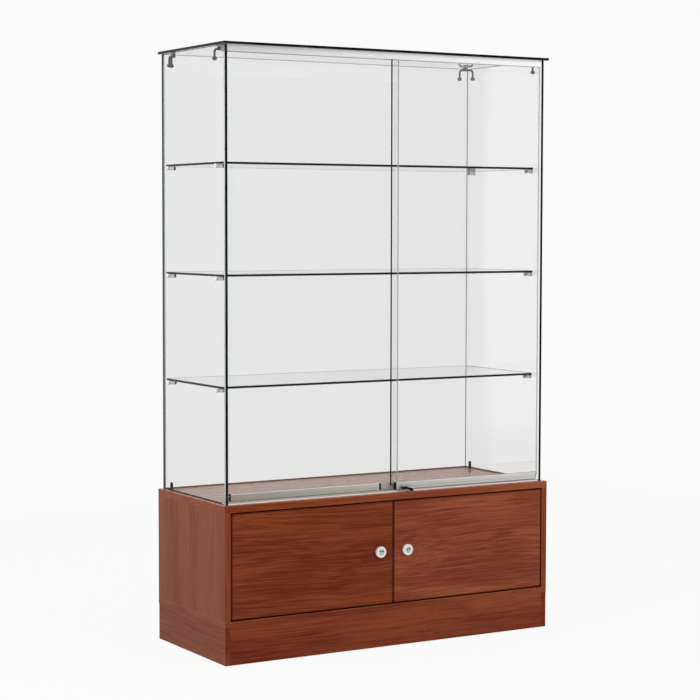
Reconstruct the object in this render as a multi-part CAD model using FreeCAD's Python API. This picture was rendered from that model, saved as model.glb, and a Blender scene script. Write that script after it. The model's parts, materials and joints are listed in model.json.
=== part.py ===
import FreeCAD, Part
import math
import os

V = FreeCAD.Vector

# Overall size, X along the front, Y to the back, Z up, origin on the floor under the middle
# of the whole; only the lock rosettes stand in front of the base
WIDTH = 1200.0
BASE_DEPTH = 470.0
HEIGHT = 1885.0

# Wooden base
PLINTH_HEIGHT = 116.0
PLINTH_INSET = 1.0
BASE_HEIGHT = 489.0
PANEL = 18.0
SIDE_PANEL = 20.0
DECK = 22.0
BACK_BOARD = 6.0
BOARD_EASE = 0.8

# Cupboard doors on pivot pins
DOOR_GAP = 4.5
DOOR_REAR_GAP = 2.0
PIVOT_EDGE = 12.0
PIVOT_BACKSET = 7.0
PIVOT_PIN_R = 3.0
PIVOT_IN_DOOR = 16.0
PIVOT_IN_BUSH = 8.0
BUSH_WALL = 2.0
BUSH_FLANGE = 7.0
BUSH_PLAY = 0.3
RUNNING_FIT = 0.05

# Cupboard cam locks
LOCK_FROM_MIDDLE = 50.0
LOCK_HEIGHT = 305.0
ROSETTE_R = 18.0
ROSETTE_THICK = 11.0
ROSETTE_RIM = 2.0
LOCK_SLEEVE_R = 10.5
LOCK_PLUG_R = 7.5
LOCK_TAIL = 10.0
KEYHOLE_R = 1.6
KEYHOLE_APART = 9.0
KEYHOLE_UP = 2.5
KEYHOLE_DEEP = 8.0
CAM_THICK = 2.0
CAM_WIDTH = 12.0
CAM_IN_PARTITION = 5.0
CAM_CLEAR = 2.0

# Glass case
CASE_SIDE_INSET = 13.0
CASE_FRONT_INSET = 18.0
CASE_REAR_INSET = 10.0
WALL_GLASS = 8.0
TOP_GLASS = 8.0
TOP_INSET = 3.0

# Glass shelves on drilled pins
SHELF_GLASS = 6.0
FIRST_SHELF_TOP = 846.0
SHELF_PITCH = 341.0
SHELF_FRONT = 60.0
SHELF_SIDE_GAP = 3.0
PIN_FRONT = 79.0
PIN_FROM_REAR = 51.0
PIN_R = 6.0
PIN_REACH = 22.0
PIN_HEAD_R = 7.0
PIN_HEAD = 4.0
PIN_SHANK_R = 3.5
PIN_ROUND = 1.2
PIN_FIT = 0.3
SEAT = 0.1

# Bent connectors under the top glass
ARM_ROD_R = 3.5
ARM_BEND = 10.0
ARM_DROP = 36.0
ARM_RUN = 17.0
ARM_PAD_R = 7.0
ARM_PAD = 11.0
ARM_IN_PAD = 1.0
KNOB_R = 7.5
KNOB_HIGH = 11.0
KNOB_BEVEL = 3.0
CORNER_LEFT = 22.0
CORNER_RIGHT = 40.0
ARM_FRONT_LEFT = 112.0
ARM_FRONT_RIGHT = 60.0

# Locating pegs on the deck
PEG_R = 4.7
PEG_HIGH = 24.0
PEG_FROM_REAR = 50.0

# Double track, double channel and door shoes
TRACK_SETBACK = 1.0
TRACK_WALL = 1.5
TRACK_FLOOR = 1.5
LANE = 14.5
LIP = 6.0
RAIL = 4.5
RAIL_WIDE = 2.0
RAIL_ROUND = 0.8
CHANNEL_TALL = 20.0
DOOR_GLASS = 5.0
DOOR_IN_CHANNEL = 10.0
SHOE_LIFT = 1.5
SHOE_WIDE = 12.5
SHOE_TALL = 22.5
SHOE_WALL = 1.6
SHOE_CAVITY = 10.0
SHOE_WEB = 2.0
SHOE_INSET = 12.0
SHOE_MEETING = 17.0
SHOE_TAIL = 5.0
CAP = 2.0
GASKET = 1.2
MEETING_X = 22.5
OVERLAP = 35.0
LEFT_DOOR_CLEAR = 5.0
RIGHT_DOOR_CLEAR = 2.0

# Grooved rollers inside the shoes
ROLLER_R = 6.5
GROOVE_R = 5.0
GROOVE_WIDE = 3.0
ROLLER_WIDE = 5.0
ROLLER_INSET = 60.0
ROLL_CLEAR = 0.1
AXLE_R = 1.5
AXLE_SEAT = 1.1

# Showcase lock on the front door's shoe
CASE_LOCK_X = 41.0
CASE_LOCK_UP = 13.4
BARREL_R = 5.5
BARREL_FLANGE_R = 6.5
BARREL_FLANGE = 1.5
PLUG_R = 4.0
LATCH_GAP = 0.4
LATCH_THICK = 1.3
LATCH_HUB_R = 4.0
LATCH_REACH = 14.0
LATCH_WIDE = 7.0
STRIKE_PLATE = 0.8
STRIKE_LENGTH = 67.5
STRIKE_BAR_LENGTH = 20.0
STRIKE_BAR_TALL = 7.5
STRIKE_BAR_CLEAR = 0.5
STRIKE_END = 1.0
STRIKE_PLAY = 1.0
STOP_WIDE = 6.5
STOP_THICK = 0.6

# Key, ring and spare key
BLADE_WIDE = 5.0
BLADE_THICK = 1.4
BLADE_DEEP = 10.0
BLADE_FIT = 0.2
BOW_WIDE = 20.0
BOW_LONG = 13.0
BOW_THICK = 7.0
BOW_ROUND = 5.0
NECK = 8.0
BOW_HOLE_R = 2.7
BOW_HOLE_OFF = 6.2
RING_R = 8.0
RING_WIRE = 1.4
SPARE_TILT = 25.0
SPARE_BOW_R = 8.0
SPARE_THICK = 5.0
SPARE_HOLE_IN = 4.2
SPARE_BLADE = 6.0

# Planes that the pieces share
x_out = WIDTH / 2
y_front = -(BASE_DEPTH - ROSETTE_THICK) / 2
y_rear = y_front + BASE_DEPTH
x_inner = x_out - SIDE_PANEL
z_floor = PLINTH_HEIGHT + PANEL
z_ceiling = BASE_HEIGHT - DECK
z_deck = BASE_HEIGHT
z_top = HEIGHT - TOP_GLASS
x_case = x_out - CASE_SIDE_INSET
x_glass = x_case - WALL_GLASS
y_case_front = y_front + CASE_FRONT_INSET
y_case_rear = y_rear - CASE_REAR_INSET
y_back_glass = y_case_rear - WALL_GLASS
y_door_back = y_front + PANEL
shelf_tops = [FIRST_SHELF_TOP + i * SHELF_PITCH for i in range(3)]
y_shelf = y_front + SHELF_FRONT

# Sliding gear, measured from the deck and from the front of the case
y_track = y_case_front + TRACK_SETBACK
lane_step = TRACK_WALL + LANE
track_wide = 2 * lane_step + TRACK_WALL
front_lane = y_track + TRACK_WALL + LANE / 2
rear_lane = front_lane + lane_step
z_shoe = z_deck + LIP + SHOE_LIFT
z_web = z_shoe + SHOE_CAVITY
z_slot = z_web + SHOE_WEB
z_shoe_top = z_shoe + SHOE_TALL
z_axle = z_deck + RAIL + ROLL_CLEAR + GROOVE_R
slot_half = DOOR_GLASS / 2 + GASKET
left_door_x = (-x_glass + LEFT_DOOR_CLEAR, MEETING_X + OVERLAP / 2)
right_door_x = (MEETING_X - OVERLAP / 2, x_glass - RIGHT_DOOR_CLEAR)
left_shoe_x = (left_door_x[0] + SHOE_INSET, left_door_x[1] - SHOE_INSET)
right_shoe_x = (right_door_x[0] + SHOE_MEETING, right_door_x[1] - SHOE_TAIL)


def box(x, y, z):
    """Block between low and high values along X, Y and Z."""
    return Part.makeBox(x[1] - x[0], y[1] - y[0], z[1] - z[0], V(x[0], y[0], z[0]))


def cylinder(centre, axis, radius, length):
    """Round bar from a centre along an axis."""
    return Part.makeCylinder(radius, length, centre, axis)


def edges_at(shape, axis, value):
    """Edges that lie wholly in the plane axis = value."""
    flat = []
    for edge in shape.Edges:
        if all(abs(getattr(v.Point, axis) - value) < 1e-6 for v in edge.Vertexes):
            flat.append(edge)
    return flat


def eased(shape, axis, value, radius=BOARD_EASE):
    """Round over the edges of one face."""
    return shape.makeFillet(radius, edges_at(shape, axis, value))


def extrude_x(outline, x):
    """Sweep a (y, z) outline along X between two stations."""
    points = [V(x[0], y, z) for y, z in outline]
    face = Part.Face(Part.makePolygon(points + points[:1]))
    return face.extrude(V(x[1] - x[0], 0, 0))


def revolve(profile, origin, axis):
    """Turn a (radius, height) outline round an axis through origin."""
    side = V(0, 0, 1) if abs(axis.z) < 0.5 else V(1, 0, 0)
    points = [origin + side * r + axis * h for r, h in profile]
    face = Part.Face(Part.makePolygon(points + points[:1]))
    return face.revolve(origin, axis, 360)


def union(first, *others):
    """Fuse shapes and merge their flush faces."""
    return first.fuse(list(others)).removeSplitter()


def save(name, *solids):
    """Write one node; several solids share a node as a group."""
    shape = solids[0] if len(solids) == 1 else Part.makeCompound(list(solids))
    shape.exportStep("parts/" + name + ".step")


def mirror_x(shape):
    """Copy on the other side of the middle plane."""
    return shape.mirror(V(0, 0, 0), V(1, 0, 0))


# Plinth

def plinth():
    """Four boards on edge with a rail across the middle."""
    x1 = x_out - PLINTH_INSET
    x0 = x1 - PANEL
    z = (0, PLINTH_HEIGHT)
    side = eased(box((x0, x1), (y_front, y_rear), z), "x", x1)
    save("plinth_right", side)
    save("plinth_left", mirror_x(side))
    save("plinth_front", box((-x0, x0), (y_front, y_front + PANEL), z))
    save("plinth_back", box((-x0, x0), (y_rear - PANEL, y_rear), z))
    save("plinth_rail", box((-PANEL / 2, PANEL / 2), (y_front + PANEL, y_rear - PANEL), z))


# Carcass

def pivot_axis(side):
    """Plan position of a cupboard door's pivot, side -1 left and +1 right."""
    return side * (x_inner - DOOR_GAP - PIVOT_EDGE), y_front + PIVOT_BACKSET


def bush_socket(side, z_face, direction):
    """Bore in the deck or the bottom board that takes a pivot bush."""
    x, y = pivot_axis(side)
    return cylinder(V(x, y, z_face), V(0, 0, direction), PIVOT_PIN_R + BUSH_WALL, PIVOT_IN_BUSH)


def bush(side, z_face, direction):
    """Flanged sleeve for a pivot pin; the flange stands in the door gap."""
    x, y = pivot_axis(side)
    inner = PIVOT_PIN_R + RUNNING_FIT
    outer = PIVOT_PIN_R + BUSH_WALL
    lip = DOOR_GAP - BUSH_PLAY
    profile = [(inner, -lip), (BUSH_FLANGE, -lip), (BUSH_FLANGE, 0), (outer, 0),
               (outer, PIVOT_IN_BUSH), (inner, PIVOT_IN_BUSH)]
    return revolve(profile, V(x, y, z_face), V(0, 0, direction))


def cam_pocket(side):
    """Slot in the partition that the turned cam of one door lock enters."""
    depth = CAM_IN_PARTITION + CAM_CLEAR / 2
    face = side * PANEL / 2
    x = sorted((face, face - side * depth))
    y0 = y_door_back + LOCK_TAIL - CAM_THICK
    reach = LOCK_FROM_MIDDLE - PANEL / 2 + CAM_IN_PARTITION
    sweep = math.sqrt(reach ** 2 - (reach - CAM_IN_PARTITION) ** 2) + CAM_WIDTH
    z = (LOCK_HEIGHT - sweep, LOCK_HEIGHT + CAM_WIDTH / 2 + CAM_CLEAR)
    return box(x, (y0 - CAM_CLEAR / 2, y0 + CAM_THICK + CAM_CLEAR / 2), z)


def carcass():
    """Bottom, sides, partition, back and the deck that carries the glass."""
    y_board = y_rear - BACK_BOARD
    bottom = eased(box((-x_out, x_out), (y_front, y_rear), (PLINTH_HEIGHT, z_floor)), "y", y_front)
    deck = eased(box((-x_out, x_out), (y_front, y_rear), (z_ceiling, z_deck)), "z", z_deck)
    bushes = []
    for side in (-1, 1):
        bottom = bottom.cut(bush_socket(side, z_floor, -1))
        deck = deck.cut(bush_socket(side, z_ceiling, 1))
        bushes += [bush(side, z_floor, -1), bush(side, z_ceiling, 1)]
    save("bottom_panel", bottom)
    save("deck_panel", deck)
    save("pivot_bushes", *bushes)
    side = box((x_inner, x_out), (y_front, y_rear), (z_floor, z_ceiling))
    side = eased(side, "y", y_front)
    save("side_panel_right", side)
    save("side_panel_left", mirror_x(side))
    save("back_panel", box((-x_inner, x_inner), (y_board, y_rear), (z_floor, z_ceiling)))
    y = (y_door_back + DOOR_REAR_GAP, y_board)
    partition = box((-PANEL / 2, PANEL / 2), y, (z_floor, z_ceiling))
    save("partition", partition.cut(cam_pocket(-1)).cut(cam_pocket(1)))


# Cupboard doors and their locks

def cupboard_door(side, label):
    """Inset door with eased front edges, drilled for its pins and lock."""
    x = sorted((side * DOOR_GAP / 2, side * (x_inner - DOOR_GAP)))
    z = (z_floor + DOOR_GAP, z_ceiling - DOOR_GAP)
    door = eased(box(x, (y_front, y_door_back), z), "y", y_front)
    px, py = pivot_axis(side)
    pins = []
    for z_edge, out in ((z[0], -1), (z[1], 1)):
        foot = V(px, py, z_edge - out * PIVOT_IN_DOOR)
        length = PIVOT_IN_DOOR + DOOR_GAP + PIVOT_IN_BUSH - BUSH_PLAY
        door = door.cut(cylinder(foot, V(0, 0, out), PIVOT_PIN_R + RUNNING_FIT, PIVOT_IN_DOOR))
        pins.append(cylinder(foot, V(0, 0, out), PIVOT_PIN_R, length))
    hole = cylinder(V(side * LOCK_FROM_MIDDLE, y_front, LOCK_HEIGHT), V(0, 1, 0), LOCK_SLEEVE_R, PANEL)
    save("cupboard_door_" + label, door.cut(hole))
    save("pivot_pins_" + label, *pins)


def cam_lock(side, label):
    """Rosette with its sleeve, and the plug that carries the cam and two holes for a pin key."""
    axis = V(0, 1, 0)
    centre = V(side * LOCK_FROM_MIDDLE, y_front, LOCK_HEIGHT)
    bore = LOCK_PLUG_R + RUNNING_FIT
    y_tail = PANEL + LOCK_TAIL
    y_nut = y_tail - CAM_THICK - CAM_CLEAR / 2
    rosette = revolve([(bore, -ROSETTE_THICK), (ROSETTE_R - ROSETTE_RIM, -ROSETTE_THICK),
                       (ROSETTE_R, ROSETTE_RIM - ROSETTE_THICK), (ROSETTE_R, 0), (LOCK_SLEEVE_R, 0),
                       (LOCK_SLEEVE_R, y_nut), (bore, y_nut)], centre, axis)
    save("lock_rosette_" + label, rosette)
    plug = cylinder(centre - axis * ROSETTE_THICK, axis, LOCK_PLUG_R, y_tail + ROSETTE_THICK)
    for turn in (-1, 1):
        mouth = centre + V(turn * KEYHOLE_APART / 2, -ROSETTE_THICK, KEYHOLE_UP)
        plug = plug.cut(cylinder(mouth, axis, KEYHOLE_R, KEYHOLE_DEEP))
    reach = LOCK_FROM_MIDDLE - PANEL / 2 + CAM_IN_PARTITION
    cam = box((-CAM_WIDTH / 2, CAM_WIDTH / 2), (y_tail - CAM_THICK, y_tail), (-reach, 0))
    corners = [e for e in edges_at(cam, "z", -reach) if abs(e.CenterOfMass.x) > BOARD_EASE]
    cam = cam.makeFillet(CAM_WIDTH / 2 - BOARD_EASE, corners)
    cam.translate(centre)
    save("lock_plug_" + label, union(plug, cam))


# Glass case

def pin_stations():
    """Depth and height of each pin's axis, one pair per shelf."""
    rows = []
    for top in shelf_tops:
        z = top - SHELF_GLASS - SEAT - PIN_R
        rows.append([(y_front + PIN_FRONT, z), (y_rear - PIN_FROM_REAR, z)])
    return rows


def shelf_pin(y, z):
    """Turned pin through the right wall glass: head outside, round peg inside."""
    tip = WALL_GLASS + PIN_REACH
    profile = [(0, -PIN_HEAD), (PIN_HEAD_R - PIN_ROUND, -PIN_HEAD), (PIN_HEAD_R, -PIN_HEAD + PIN_ROUND),
               (PIN_HEAD_R, 0), (PIN_SHANK_R, 0), (PIN_SHANK_R, WALL_GLASS), (PIN_R, WALL_GLASS),
               (PIN_R, tip - PIN_ROUND), (PIN_R - PIN_ROUND, tip), (0, tip)]
    return revolve(profile, V(x_case, y, z), V(-1, 0, 0))


def glass_case():
    """Two drilled side walls, a back, a top and three shelves."""
    wall = box((x_glass, x_case), (y_case_front, y_case_rear), (z_deck, z_top))
    for row in pin_stations():
        for y, z in row:
            wall = wall.cut(cylinder(V(x_glass, y, z), V(1, 0, 0), PIN_SHANK_R + PIN_FIT, WALL_GLASS))
    save("glass_side_right", wall)
    save("glass_side_left", mirror_x(wall))
    save("glass_back", box((-x_glass, x_glass), (y_back_glass, y_case_rear), (z_deck, z_top)))
    x = x_out - TOP_INSET
    y = (y_front + TOP_INSET, y_rear - TOP_INSET)
    save("glass_top", box((-x, x), y, (z_top, HEIGHT)))
    x = x_glass - SHELF_SIDE_GAP
    y = (y_shelf, y_back_glass - SHELF_SIDE_GAP)
    for name, top, row in zip(("lower", "middle", "upper"), shelf_tops, pin_stations()):
        save("glass_shelf_" + name, box((-x, x), y, (top - SHELF_GLASS, top)))
        pins = [shelf_pin(*station) for station in row]
        save("shelf_pins_" + name, *pins, *[mirror_x(pin) for pin in pins])


def connector_arm(run):
    """Bent rod with a knob, from its pad to the wall glass at x = 0; inside is towards -x."""
    x_rod = -KNOB_R - SEAT
    z_rod = ARM_ROD_R + ARM_IN_PAD - ARM_PAD
    bend = V(x_rod - ARM_BEND, 0, z_rod - ARM_BEND)
    turn = V(ARM_BEND * math.sin(math.pi / 4), 0, ARM_BEND * math.cos(math.pi / 4))
    start = V(x_rod - run, 0, z_rod)
    path = Part.Wire([
        Part.LineSegment(start, bend + V(0, 0, ARM_BEND)).toShape(),
        Part.Arc(bend + V(0, 0, ARM_BEND), bend + turn, bend + V(ARM_BEND, 0, 0)).toShape(),
        Part.LineSegment(bend + V(ARM_BEND, 0, 0), V(x_rod, 0, -ARM_DROP)).toShape()])
    section = Part.Wire([Part.makeCircle(ARM_ROD_R, start, V(1, 0, 0))])
    rod = path.makePipeShell([section], True, False)
    high = KNOB_HIGH / 2
    knob = revolve([(0, -high), (KNOB_R - KNOB_BEVEL, -high), (KNOB_R, KNOB_BEVEL - high),
                    (KNOB_R, high - KNOB_BEVEL), (KNOB_R - KNOB_BEVEL, high), (0, high)],
                   V(x_rod, 0, -ARM_DROP), V(0, 0, 1))
    return rod.fuse(knob)


def connector_pad(x, y):
    """Round foot that is bonded to the underside of the top glass."""
    return cylinder(V(x, y, -ARM_PAD), V(0, 0, 1), ARM_PAD_R, ARM_PAD)


def corner_connector(reach):
    """One pad with an arm to the side glass and one to the back glass; corner at the origin."""
    run = reach - KNOB_R - SEAT
    side_arm = connector_arm(run)
    back_arm = side_arm.copy()
    back_arm.rotate(V(0, 0, 0), V(0, 0, 1), 90)
    side_arm.translate(V(0, -reach, 0))
    back_arm.translate(V(-reach, 0, 0))
    return connector_pad(-reach, -reach).fuse([side_arm, back_arm])


def connectors():
    """A two-armed connector in each rear corner and a single arm near each front corner."""
    single = connector_arm(ARM_RUN).fuse(connector_pad(-KNOB_R - SEAT - ARM_RUN, 0))
    stations = ((single, -1, y_front + ARM_FRONT_LEFT), (single, 1, y_front + ARM_FRONT_RIGHT),
                (corner_connector(CORNER_LEFT), -1, y_back_glass),
                (corner_connector(CORNER_RIGHT), 1, y_back_glass))
    arms = []
    for shape, side, y in stations:
        place = shape.copy() if side > 0 else mirror_x(shape)
        place.translate(V(side * x_glass, y, z_top))
        arms.append(place)
    save("corner_connectors", *arms)


def deck_pegs():
    """Bevelled posts on the deck that keep the side walls upright."""
    x = x_glass - PEG_R - PIN_FIT
    foot = V(x, y_rear - PEG_FROM_REAR, z_deck)
    taper = PEG_R / 2
    peg = revolve([(0, 0), (PEG_R, 0), (PEG_R, PEG_HIGH - taper), (PEG_R - taper, PEG_HIGH), (0, PEG_HIGH)],
                  foot, V(0, 0, 1))
    save("deck_pegs", peg, mirror_x(peg))


# Sliding gear

def track_outline():
    """Comb section of the bottom track: floor, three lips and a rail in each lane."""
    outline = [(y_track, z_deck), (y_track + track_wide, z_deck)]
    floor = z_deck + TRACK_FLOOR
    for k in (2, 1, 0):
        y = y_track + k * lane_step
        outline += [(y + TRACK_WALL, z_deck + LIP), (y, z_deck + LIP)]
        if k:
            middle = y - LANE / 2
            half = RAIL_WIDE / 2
            outline += [(y, floor), (middle + half, floor), (middle + half, z_deck + RAIL),
                        (middle - half, z_deck + RAIL), (middle - half, floor), (y - LANE, floor)]
    return outline


def tracks():
    """Bottom track on the deck and top channel under the top glass."""
    x = (-x_glass, x_glass)
    track = extrude_x(track_outline(), x)
    rail_tops = edges_at(track, "z", z_deck + RAIL)
    rail_edges = [e for e in rail_tops if abs(e.Vertexes[0].X - e.Vertexes[1].X) > 1]
    save("bottom_track", track.makeFillet(RAIL_ROUND, rail_edges))
    outline = [(y_track + track_wide, z_top), (y_track, z_top)]
    ceiling = z_top - TRACK_FLOOR
    foot = z_top - CHANNEL_TALL
    for k in range(3):
        y = y_track + k * lane_step
        outline += [(y, foot), (y + TRACK_WALL, foot)]
        if k < 2:
            outline += [(y + TRACK_WALL, ceiling), (y + lane_step, ceiling)]
    save("top_channel", extrude_x(outline, x))


def shoe_outline(lane):
    """H section: roller cavity below the web, glazing slot above it."""
    outer = SHOE_WIDE / 2
    inner = outer - SHOE_WALL
    half = [(outer, z_shoe_top), (slot_half, z_shoe_top), (slot_half, z_slot)]
    foot = [(inner, z_web), (inner, z_shoe), (outer, z_shoe)]
    left = [(-y, z) for y, z in reversed(half)]
    left_foot = [(-y, z) for y, z in reversed(foot)]
    return [(lane + y, z) for y, z in half + left + left_foot + foot]


def sliding_door(label, door_x, shoe_x, lane):
    """Glass leaf in a gasket and a capped shoe; returns the shoe for later drilling."""
    body_x = (shoe_x[0] + CAP, shoe_x[1] - CAP)
    z_glass = (z_slot + GASKET, z_top - CHANNEL_TALL + DOOR_IN_CHANNEL)
    y_leaf = (lane - DOOR_GLASS / 2, lane + DOOR_GLASS / 2)
    save(label + "_door_glass", box(door_x, y_leaf, z_glass))
    leaf = DOOR_GLASS / 2
    gasket = [(lane - slot_half, z_slot), (lane + slot_half, z_slot), (lane + slot_half, z_shoe_top),
              (lane + leaf, z_shoe_top), (lane + leaf, z_slot + GASKET), (lane - leaf, z_slot + GASKET),
              (lane - leaf, z_shoe_top), (lane - slot_half, z_shoe_top)]
    save(label + "_door_gasket", extrude_x(gasket, body_x))
    y_shoe = (lane - SHOE_WIDE / 2, lane + SHOE_WIDE / 2)
    glass_gap = box(door_x, (lane - leaf, lane + leaf), (z_slot + GASKET, z_shoe_top))
    caps = [box(x, y_shoe, (z_shoe, z_shoe_top)).cut(glass_gap)
            for x in ((shoe_x[0], body_x[0]), (body_x[1], shoe_x[1]))]
    save(label + "_door_end_caps", *caps)
    shoe = extrude_x(shoe_outline(lane), body_x)
    axles = []
    half = SHOE_WIDE / 2 - SHOE_WALL + AXLE_SEAT
    for name, x in (("a", shoe_x[0] + ROLLER_INSET), ("b", shoe_x[1] - ROLLER_INSET)):
        axle = cylinder(V(x, lane - half, z_axle), V(0, 1, 0), AXLE_R, 2 * half)
        shoe = shoe.cut(axle)
        axles.append(axle)
        save(label + "_roller_" + name, roller(x, lane))
    save(label + "_door_axles", *axles)
    return shoe


def roller(x, lane):
    """Grooved wheel that runs on a rail, turned about its axle."""
    half = ROLLER_WIDE / 2
    groove = GROOVE_WIDE / 2
    bore = AXLE_R + RUNNING_FIT
    profile = [(bore, -half), (ROLLER_R, -half), (ROLLER_R, -groove), (GROOVE_R, -groove),
               (GROOVE_R, groove), (ROLLER_R, groove), (ROLLER_R, half), (bore, half)]
    return revolve(profile, V(x, lane, z_axle), V(0, 1, 0))


# Showcase lock between the sliding doors

def latch_levels():
    """Front and back of the latch plate, in the gap behind the front shoe."""
    y0 = front_lane + SHOE_WIDE / 2 + LATCH_GAP
    return y0, y0 + LATCH_THICK


def showcase_lock(front_shoe):
    """Barrel in the front shoe, plug with its latch, and the strike on the rear shoe."""
    axis = V(0, 1, 0)
    z = z_deck + CASE_LOCK_UP
    y_face = front_lane - SHOE_WIDE / 2
    centre = V(CASE_LOCK_X, y_face, z)
    bore = PLUG_R + RUNNING_FIT
    save("right_door_shoe", front_shoe.cut(cylinder(centre, axis, BARREL_R, SHOE_WIDE)))
    barrel = revolve([(bore, -BARREL_FLANGE), (BARREL_FLANGE_R, -BARREL_FLANGE), (BARREL_FLANGE_R, 0),
                      (BARREL_R, 0), (BARREL_R, SHOE_WIDE), (bore, SHOE_WIDE)], centre, axis)
    save("showcase_lock_barrel", barrel)
    y_latch = latch_levels()
    y_plug = y_face - BARREL_FLANGE
    plug = cylinder(V(CASE_LOCK_X, y_plug, z), axis, PLUG_R, y_latch[1] - y_plug)
    slot_x = BLADE_WIDE / 2 + BLADE_FIT
    slot_z = BLADE_THICK / 2 + BLADE_FIT
    slot = box((CASE_LOCK_X - slot_x, CASE_LOCK_X + slot_x), (y_plug, y_plug + BLADE_DEEP + BLADE_FIT),
               (z - slot_z, z + slot_z))
    tip = LATCH_WIDE / 2
    arm = box((CASE_LOCK_X, CASE_LOCK_X + LATCH_REACH), y_latch, (z - tip, z + tip))
    arm = eased(arm, "x", CASE_LOCK_X + LATCH_REACH, BOARD_EASE / 2)
    hub = cylinder(V(CASE_LOCK_X, y_latch[0], z), axis, LATCH_HUB_R, LATCH_THICK)
    save("showcase_lock_plug", union(plug.cut(slot), hub, arm))
    y_rear_shoe = rear_lane - SHOE_WIDE / 2
    y_plate = y_rear_shoe - STRIKE_PLATE
    x1 = CASE_LOCK_X - LATCH_WIDE / 2 - STRIKE_PLAY
    plate_z = (z_shoe + STRIKE_END, z_shoe_top - STRIKE_END)
    bar_z = (plate_z[1] - STRIKE_BAR_TALL, plate_z[1])
    plate = box((x1 - STRIKE_LENGTH, x1), (y_plate, y_rear_shoe), plate_z)
    bar = box((x1 - STRIKE_BAR_LENGTH, x1), (y_latch[0] - LATCH_GAP + STRIKE_BAR_CLEAR, y_plate), bar_z)
    save("showcase_strike", union(plate, bar))
    x0 = x1 - STRIKE_LENGTH
    save("strike_stop", box((x0, x0 + STOP_WIDE), (y_plate - STOP_THICK, y_plate), plate_z))
    return V(CASE_LOCK_X, y_plug, z)


def keys(face):
    """Key in the plug, split ring through its bow, and a spare key on the ring."""
    blade = box((-BLADE_WIDE / 2, BLADE_WIDE / 2), (-NECK, BLADE_DEEP), (-BLADE_THICK / 2, BLADE_THICK / 2))
    bow = box((-BOW_WIDE / 2, BOW_WIDE / 2), (-NECK - BOW_LONG, -NECK), (-BOW_THICK / 2, BOW_THICK / 2))
    bow = bow.makeFillet(BOW_ROUND, [e for e in bow.Edges if abs(e.Vertexes[0].Z - e.Vertexes[1].Z) > 1])
    y_hole = -NECK - BOW_LONG / 2
    bow = bow.cut(cylinder(V(BOW_HOLE_OFF, y_hole, -BOW_THICK), V(0, 0, 1), BOW_HOLE_R, 2 * BOW_THICK))
    key_blade = blade.copy()
    for piece in (key_blade, bow):
        piece.translate(face)
    save("case_key_blade", key_blade)
    save("case_key_bow", bow)
    hub = face + V(BOW_HOLE_OFF + RING_R, y_hole, 0)
    half = RING_WIRE / 2
    wire = [(RING_R - half, -half), (RING_R + half, -half), (RING_R + half, half), (RING_R - half, half)]
    save("key_ring", revolve(wire, hub, V(0, 1, 0)))
    half = SPARE_THICK / 2
    eye = SPARE_BOW_R - SPARE_HOLE_IN
    spare_bow = cylinder(V(eye, 0, -half), V(0, 0, 1), SPARE_BOW_R, SPARE_THICK)
    spare_bow = spare_bow.cut(cylinder(V(0, 0, -half), V(0, 0, 1), BOW_HOLE_R, SPARE_THICK))
    start = eye + SPARE_BOW_R
    stub = box((start - BOARD_EASE, start + SPARE_BLADE), (-BLADE_WIDE / 2, BLADE_WIDE / 2),
               (-BLADE_THICK / 2, BLADE_THICK / 2)).cut(spare_bow)
    tilt = math.radians(SPARE_TILT)
    wire_inside = math.sqrt((RING_R - RING_WIRE / 2) ** 2 - half ** 2)
    hang = wire_inside + math.sqrt(BOW_HOLE_R ** 2 - (RING_WIRE / 2) ** 2) - SEAT
    seat = hub + V(hang * math.cos(tilt), 0, -hang * math.sin(tilt))
    for piece in (spare_bow, stub):
        piece.rotate(V(0, 0, 0), V(0, 1, 0), SPARE_TILT)
        piece.translate(seat)
    save("spare_key_bow", spare_bow)
    save("spare_key_blade", stub)


def main():
    os.makedirs("parts", exist_ok=True)
    plinth()
    carcass()
    for side, label in ((-1, "left"), (1, "right")):
        cupboard_door(side, label)
        cam_lock(side, label)
    glass_case()
    connectors()
    deck_pegs()
    tracks()
    save("left_door_shoe", sliding_door("left", left_door_x, left_shoe_x, rear_lane))
    front_shoe = sliding_door("right", right_door_x, right_shoe_x, front_lane)
    keys(showcase_lock(front_shoe))


main()
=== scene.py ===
import json
import math

import bmesh
import bpy
import numpy as np
from mathutils import Matrix, Vector


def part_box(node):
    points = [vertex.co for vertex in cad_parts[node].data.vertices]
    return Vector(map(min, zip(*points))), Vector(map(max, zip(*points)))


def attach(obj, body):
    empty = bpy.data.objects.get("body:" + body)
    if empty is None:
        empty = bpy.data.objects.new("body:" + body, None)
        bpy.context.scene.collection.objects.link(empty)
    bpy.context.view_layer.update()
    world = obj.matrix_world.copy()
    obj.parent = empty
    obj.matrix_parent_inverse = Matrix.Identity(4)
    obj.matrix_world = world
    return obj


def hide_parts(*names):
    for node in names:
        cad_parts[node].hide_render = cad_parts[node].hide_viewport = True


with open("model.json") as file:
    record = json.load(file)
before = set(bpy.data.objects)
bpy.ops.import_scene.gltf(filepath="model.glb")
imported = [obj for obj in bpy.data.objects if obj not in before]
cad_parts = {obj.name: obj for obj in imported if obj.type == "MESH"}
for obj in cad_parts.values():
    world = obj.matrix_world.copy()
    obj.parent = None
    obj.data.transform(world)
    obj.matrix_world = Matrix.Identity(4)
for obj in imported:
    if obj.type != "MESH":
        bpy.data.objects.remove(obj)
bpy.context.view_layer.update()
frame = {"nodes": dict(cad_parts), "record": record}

nodes = frame["nodes"]

# View of the photograph, in metres and degrees, with the focal length in picture widths and its far end
EYE = (-3.28793, -5.51342, 1.34260)
YAW = 30.612
PITCH = 3.669
ROLL = 0.1
FOCAL_WIDTHS = 1974.05 / 700
SENSOR = 36.0
FAR_END = 100.0

# Glass body: share of light kept by colour and loss per metre
GLASS_BODY = (0.30, 0.36, 0.33, 1)
GLASS_DENSITY = 8.0

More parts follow.
